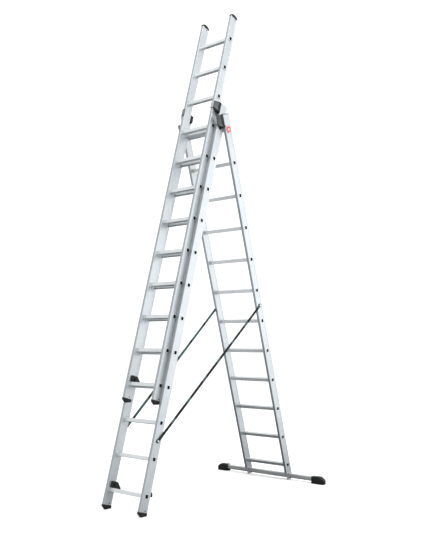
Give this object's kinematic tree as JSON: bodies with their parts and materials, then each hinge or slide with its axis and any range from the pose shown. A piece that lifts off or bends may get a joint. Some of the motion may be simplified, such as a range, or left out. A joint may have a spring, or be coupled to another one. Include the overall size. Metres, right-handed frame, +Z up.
{
  "type": "extension ladder",
  "caption": "Aluminium combination ladder: two hinged sections stand as an A-frame tied by straps, a third section slides up the front, and a crossbar foots the rear.",
  "frame": {"origin": "on the floor, at the middle of the footprint", "axes": "+X along the rungs, +Y from the climbing side to the rear section, +Z up"},
  "size_m": [1.26, 1.9546, 4.1511],
  "materials": {
    "stile_metal": "mill finish, satin",
    "rung_metal": "mill finish, ribbed",
    "crossbar_metal": "mill finish, satin",
    "steel": "zinc plated",
    "black_plastic": "matte moulded",
    "grey_plastic": "matte moulded",
    "badge_red": "gloss",
    "webbing": "woven webbing"
  },
  "bodies": {
    "front": {"front_stile_left": "stile_metal", "front_stile_right": "stile_metal", "front_rungs": "rung_metal", "front_foot_left": "black_plastic", "front_foot_right": "black_plastic", "front_foot_rivets": "black_plastic", "front_hook_left": "black_plastic", "front_hook_right": "black_plastic", "front_hook_rivets": "black_plastic", "front_guide_left": "grey_plastic", "front_guide_right": "grey_plastic", "front_guide_screws": "steel", "hinge_bolt_left": "steel", "hinge_bolt_right": "steel", "hinge_spacers": "black_plastic", "hinge_nuts": "steel", "strap_bolts_front": "steel", "restraint_strap_left": "webbing", "restraint_strap_right": "webbing"},
    "sliding": {"sliding_stile_left": "stile_metal", "sliding_stile_right": "stile_metal", "sliding_rungs": "rung_metal", "sliding_foot_left": "black_plastic", "sliding_foot_right": "black_plastic", "sliding_foot_rivets": "black_plastic", "sliding_cap_left": "black_plastic", "sliding_cap_right": "black_plastic", "sliding_cap_rivets": "black_plastic", "sliding_hook_left": "black_plastic", "sliding_hook_right": "black_plastic", "sliding_hook_rivets": "black_plastic"},
    "rear": {"rear_stile_left": "stile_metal", "rear_stile_right": "stile_metal", "rear_rungs": "rung_metal", "rear_guide_left": "grey_plastic", "rear_guide_right": "grey_plastic", "rear_guide_screws": "steel", "rear_cap_left": "black_plastic", "rear_cap_right": "black_plastic", "crossbar": "crossbar_metal", "crossbar_shoe_left": "black_plastic", "crossbar_shoe_right": "black_plastic", "crossbar_shoe_screws": "steel", "crossbar_saddle_left": "crossbar_metal", "crossbar_saddle_right": "crossbar_metal", "crossbar_saddle_bolts": "steel", "badge": "badge_red", "strap_bolts_rear": "steel"}
  },
  "joints": [
    {"name": "fold", "type": "hinge", "parent": "front", "child": "rear", "pos_m": [0, 0.00693, 3.12186], "axis": [-1, 0, 0], "range_deg": [0, 31.9], "deforming": ["restraint_strap_left", "restraint_strap_right"]},
    {"name": "section_slide", "type": "slide", "parent": "front", "child": "sliding", "axis": [0, 0.2823, 0.9593], "range_m": [-0.84, 0.84]}
  ]
}
